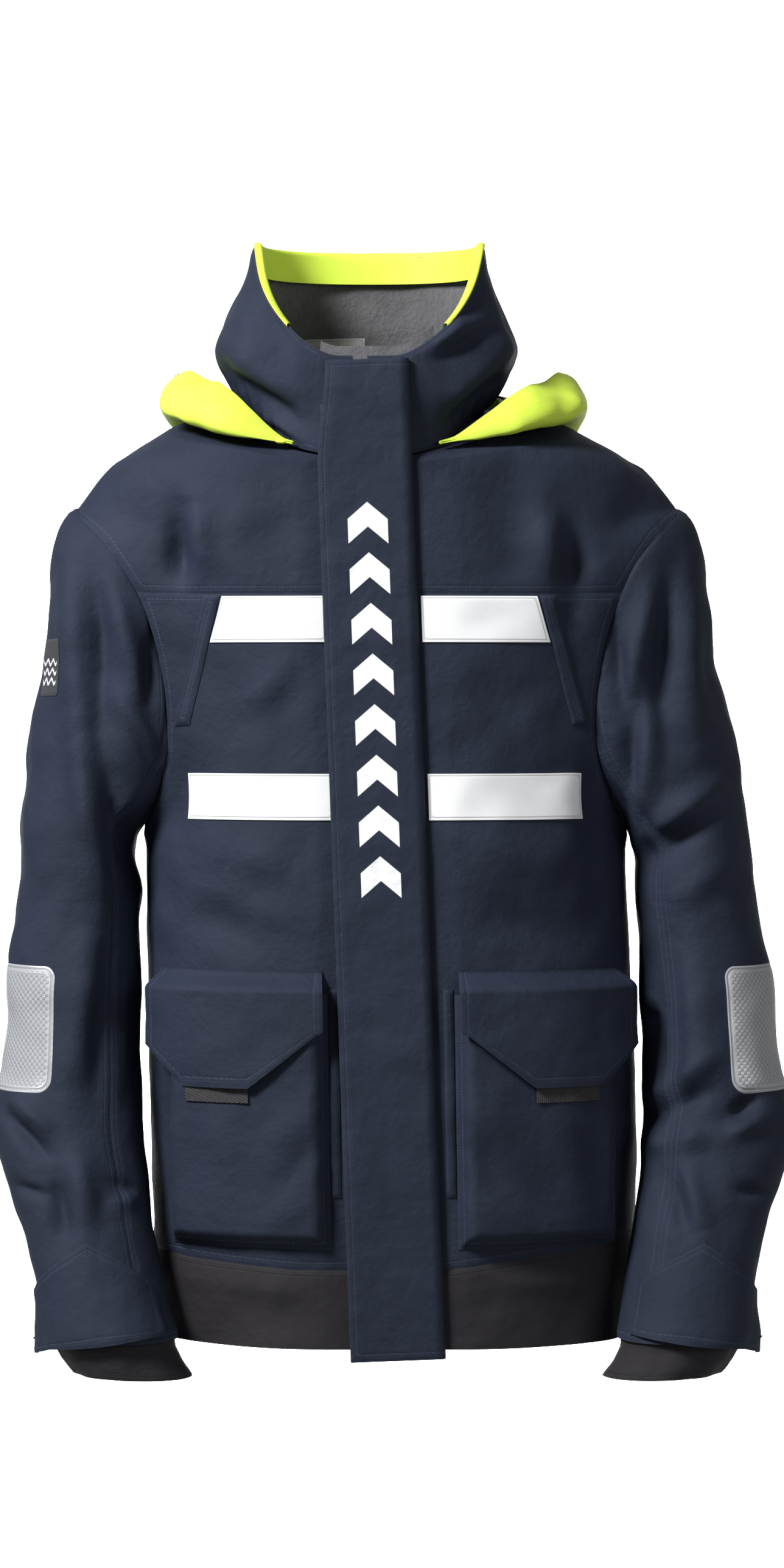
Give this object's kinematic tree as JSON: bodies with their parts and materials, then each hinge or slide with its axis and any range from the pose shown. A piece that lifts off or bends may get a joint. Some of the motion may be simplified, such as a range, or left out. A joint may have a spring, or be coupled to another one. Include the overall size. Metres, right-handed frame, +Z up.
{
  "type": "foul weather jacket",
  "caption": "Hip-length hooded sailing jacket in worn shape, with storm flap over a front zip, funnel collar, lowered hood, cargo pockets and adjustable cuffs.",
  "frame": {"origin": "middle of the neck opening, on the collar seam at the sides of the neck", "axes": "+X towards the wearer's left, the front faces -Y, +Z up along the body"},
  "size_m": [0.6695, 0.3436, 0.9385],
  "materials": {
    "navy_shell": "matt coated cloth",
    "charcoal_trim": "matt",
    "bright_hood": "high-visibility yellow-green cloth",
    "grey_fleece": "brushed fleece",
    "white_print": "smooth welded tape",
    "silver_reflective": "reflective tape",
    "zip_plastic": "matt"
  },
  "bodies": {
    "jacket": {"front_yoke_left": "navy_shell", "front_panel_left": "navy_shell", "chest_pocket_welt_left": "navy_shell", "cargo_pocket_left": "navy_shell", "pocket_side_welt_left": "navy_shell", "hem_band_left": "charcoal_trim", "chest_band_upper_left": "white_print", "chest_band_lower_left": "white_print", "zip_tape_left": "zip_plastic", "front_yoke_right": "navy_shell", "front_panel_right": "navy_shell", "chest_pocket_welt_right": "navy_shell", "cargo_pocket_right": "navy_shell", "pocket_side_welt_right": "navy_shell", "hem_band_right": "charcoal_trim", "chest_band_upper_right": "white_print", "chest_band_lower_right": "white_print", "zip_tape_right": "zip_plastic", "back_yoke": "navy_shell", "back_panel": "navy_shell", "hem_band_back": "charcoal_trim", "collar_shell": "navy_shell", "collar_lining": "grey_fleece", "collar_facing": "bright_hood", "neck_label": "white_print", "hang_loop": "charcoal_trim", "hood_shell": "bright_hood", "hood_lining": "charcoal_trim", "flap_loop_strip": "charcoal_trim", "zip_box": "zip_plastic", "chin_guard": "grey_fleece"},
    "storm_flap": {"storm_flap": "navy_shell", "flap_sewn_edge": "navy_shell", "flap_hook_strip": "charcoal_trim"},
    "zip_slider": {"zip_slider": "zip_plastic"},
    "zip_puller": {"zip_puller": "zip_plastic"},
    "pocket_flap_left": {"pocket_flap_left": "navy_shell", "flap_pull_left": "charcoal_trim", "flap_patch_left": "charcoal_trim"},
    "sleeve_left": {"upper_sleeve_left": "navy_shell"},
    "forearm_left": {"forearm_left": "navy_shell", "sleeve_reflector_left": "silver_reflective", "inner_cuff_left": "charcoal_trim", "cuff_patch_left": "charcoal_trim"},
    "cuff_tab_left": {"cuff_tab_left": "navy_shell"},
    "pocket_flap_right": {"pocket_flap_right": "navy_shell", "flap_pull_right": "charcoal_trim", "flap_patch_right": "charcoal_trim"},
    "sleeve_right": {"upper_sleeve_right": "navy_shell", "sleeve_badge": "charcoal_trim"},
    "forearm_right": {"forearm_right": "navy_shell", "sleeve_reflector_right": "silver_reflective", "inner_cuff_right": "charcoal_trim", "cuff_patch_right": "charcoal_trim"},
    "cuff_tab_right": {"cuff_tab_right": "navy_shell"}
  },
  "joints": [
    {"name": "storm_flap_hinge", "type": "hinge", "parent": "jacket", "child": "storm_flap", "pos_m": [0.04766, -0.13155, -0.36331], "axis": [-0.0368, 0.0539, 0.9979], "range_deg": [0, 100]},
    {"name": "zip_slide", "type": "slide", "parent": "jacket", "child": "zip_slider", "axis": [0.0368, -0.0539, -0.9979], "range_m": [0, 0.69]},
    {"name": "puller_swing", "type": "hinge", "parent": "zip_slider", "child": "zip_puller", "pos_m": [-0.00368, -0.11174, 0.01428], "axis": [0, -0.9985, 0.054], "range_deg": [-17, 17]},
    {"name": "pocket_flap_left_hinge", "type": "hinge", "parent": "jacket", "child": "pocket_flap_left", "pos_m": [0.15912, -0.11188, -0.45487], "axis": [-0.889, -0.4579, 0], "range_deg": [0, 95]},
    {"name": "pocket_flap_right_hinge", "type": "hinge", "parent": "jacket", "child": "pocket_flap_right", "pos_m": [-0.11965, -0.11188, -0.45491], "axis": [-0.889, 0.4579, 0], "range_deg": [0, 95]},
    {"name": "shoulder_left", "type": "hinge", "parent": "jacket", "child": "sleeve_left", "pos_m": [0.258, 0.004, -0.086], "axis": [0, -1, 0], "range_deg": [0, 25]},
    {"name": "shoulder_right", "type": "hinge", "parent": "jacket", "child": "sleeve_right", "pos_m": [-0.238, 0.004, -0.086], "axis": [0, 1, 0], "range_deg": [0, 25]},
    {"name": "elbow_left", "type": "hinge", "parent": "sleeve_left", "child": "forearm_left", "pos_m": [0.27757, -0.0845, -0.4], "axis": [-1, 0, 0], "range_deg": [0, 35]},
    {"name": "elbow_right", "type": "hinge", "parent": "sleeve_right", "child": "forearm_right", "pos_m": [-0.24166, -0.0845, -0.4], "axis": [-1, 0, 0], "range_deg": [0, 35]},
    {"name": "cuff_tab_left_hinge", "type": "hinge", "parent": "forearm_left", "child": "cuff_tab_left", "pos_m": [0.21942, -0.13228, -0.73143], "axis": [-0.1914, -0.3261, -0.9258], "range_deg": [0, 50]},
    {"name": "cuff_tab_right_hinge", "type": "hinge", "parent": "forearm_right", "child": "cuff_tab_right", "pos_m": [-0.16961, -0.13226, -0.73134], "axis": [-0.2504, 0.3215, 0.9132], "range_deg": [0, 50]}
  ]
}
